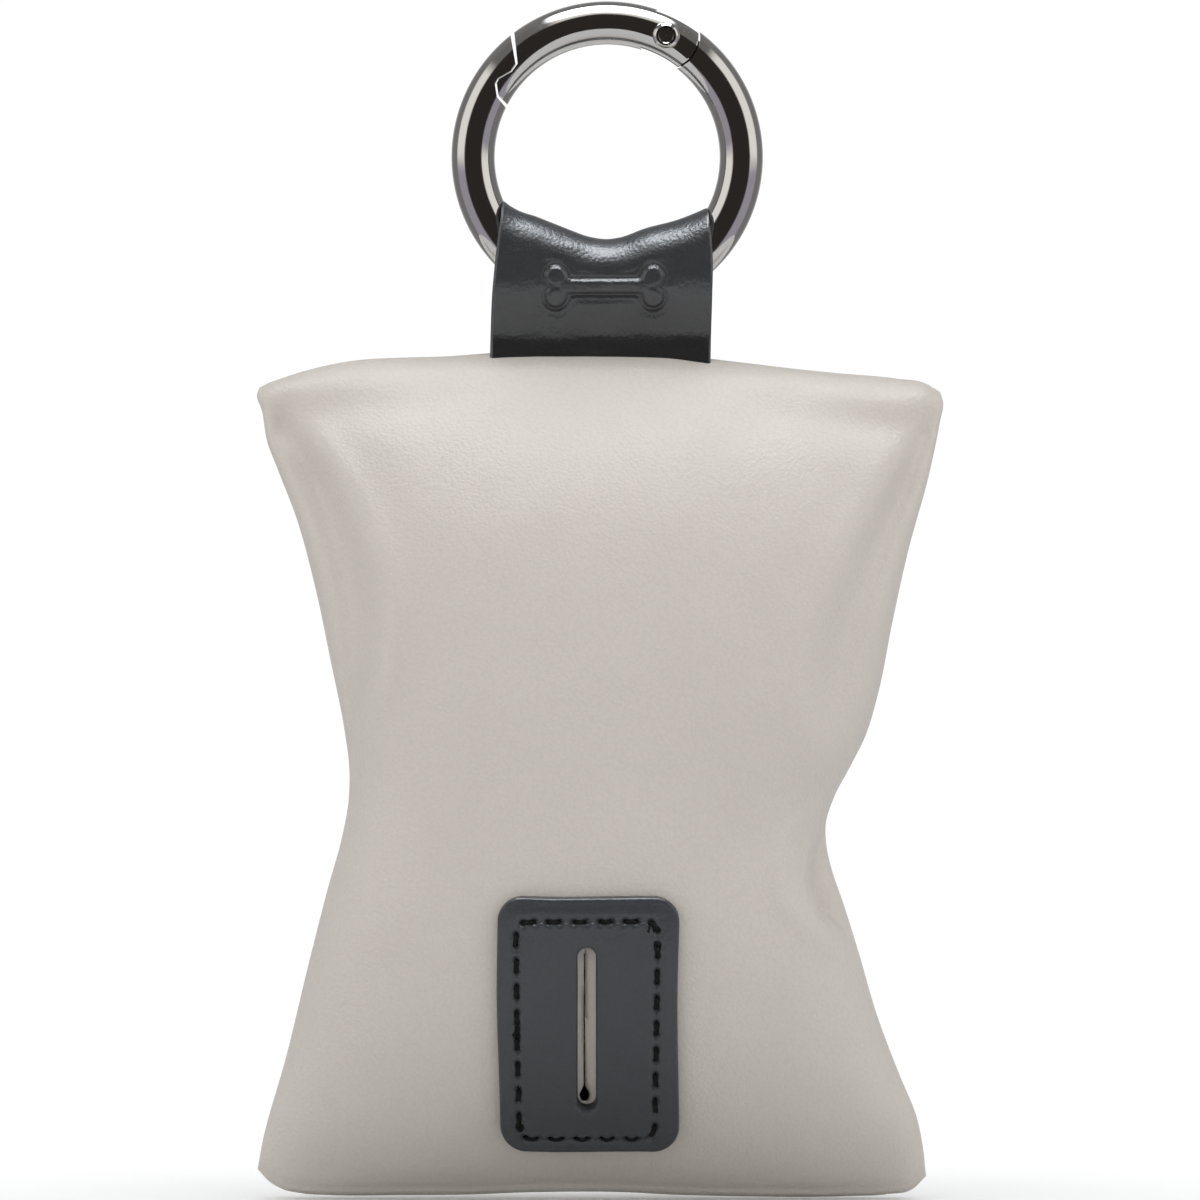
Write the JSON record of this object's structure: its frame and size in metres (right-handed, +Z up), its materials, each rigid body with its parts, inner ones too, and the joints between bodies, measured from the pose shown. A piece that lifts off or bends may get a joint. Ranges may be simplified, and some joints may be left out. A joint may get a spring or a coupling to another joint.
{
  "type": "waste-bag dispenser pouch",
  "caption": "Soft leather pouch that holds a roll of bags, dispensed through a slotted front patch, with a back zip and a strap loop on a spring-gate carry ring.",
  "frame": {"origin": "centre of the whole object's box, at the bottom seam", "axes": "+Z up from the bottom seam to the ring, +X to the viewer's right, -Y out of the front with the slotted patch, +Y out of the zipped back"},
  "size_m": [0.0764, 0.0385, 0.1327],
  "materials": {
    "greige_leather": "satin, fine grain",
    "black_leather": "satin, fine grain",
    "black_thread": "twisted",
    "gunmetal": "polished black nickel",
    "zip_metal": "polished",
    "zip_tape": "woven",
    "zip_nylon": "moulded",
    "bag_film": "thin film",
    "roll_card": "card"
  },
  "bodies": {
    "pouch": {"pouch_shell": "greige_leather", "slot_patch": "black_leather", "patch_thread": "black_thread", "strap_tail": "black_leather", "zip_tape_left": "zip_tape", "zip_tape_right": "zip_tape", "zip_coil_left": "zip_nylon", "zip_coil_right": "zip_nylon", "zip_top_stop_left": "zip_metal", "zip_top_stop_right": "zip_metal", "zip_bottom_stop": "zip_metal", "zip_thread_left": "black_thread", "zip_thread_right": "black_thread"},
    "strap": {"strap_loop": "black_leather"},
    "ring": {"ring_body": "gunmetal", "gate_rivet": "gunmetal", "gate_spring": "gunmetal"},
    "gate": {"ring_gate": "gunmetal"},
    "slider": {"zip_slider": "zip_metal"},
    "puller": {"zip_puller": "zip_metal"},
    "roll": {"bag_roll": "bag_film", "roll_core": "roll_card"}
  },
  "joints": [
    {"name": "strap_flex", "type": "hinge", "parent": "pouch", "child": "strap", "pos_m": [0.0001, 0.0017, 0.0953], "axis": [1, 0, 0], "range_deg": [-80, 80], "stiffness_Nm_per_rad": 0.05},
    {"name": "ring_turn", "type": "hinge", "parent": "strap", "child": "ring", "pos_m": [0.0008, 0.0017, 0.1154], "axis": [0, -1, 0], "range_deg": [-60, 30]},
    {"name": "gate_open", "type": "hinge", "parent": "ring", "child": "gate", "pos_m": [0.00733, 0.0017, 0.12879], "axis": [0, -1, 0], "range_deg": [0, 30], "stiffness_Nm_per_rad": 0.01, "springref_deg": -17.19, "deforming": ["gate_spring"]},
    {"name": "zip_slide", "type": "slide", "parent": "pouch", "child": "slider", "axis": [0, 0, -1], "range_m": [0, 0.0455], "deforming": ["zip_coil_left", "zip_coil_right", "zip_tape_left", "zip_tape_right"]},
    {"name": "puller_swing", "type": "hinge", "parent": "slider", "child": "puller", "pos_m": [0, 0.0176, 0.0715], "axis": [1, 0, 0], "range_deg": [0, 170]},
    {"name": "roll_spin", "type": "hinge", "parent": "pouch", "child": "roll", "pos_m": [0, -0.0007, 0.02], "axis": [0, 0, 1], "continuous": true}
  ]
}
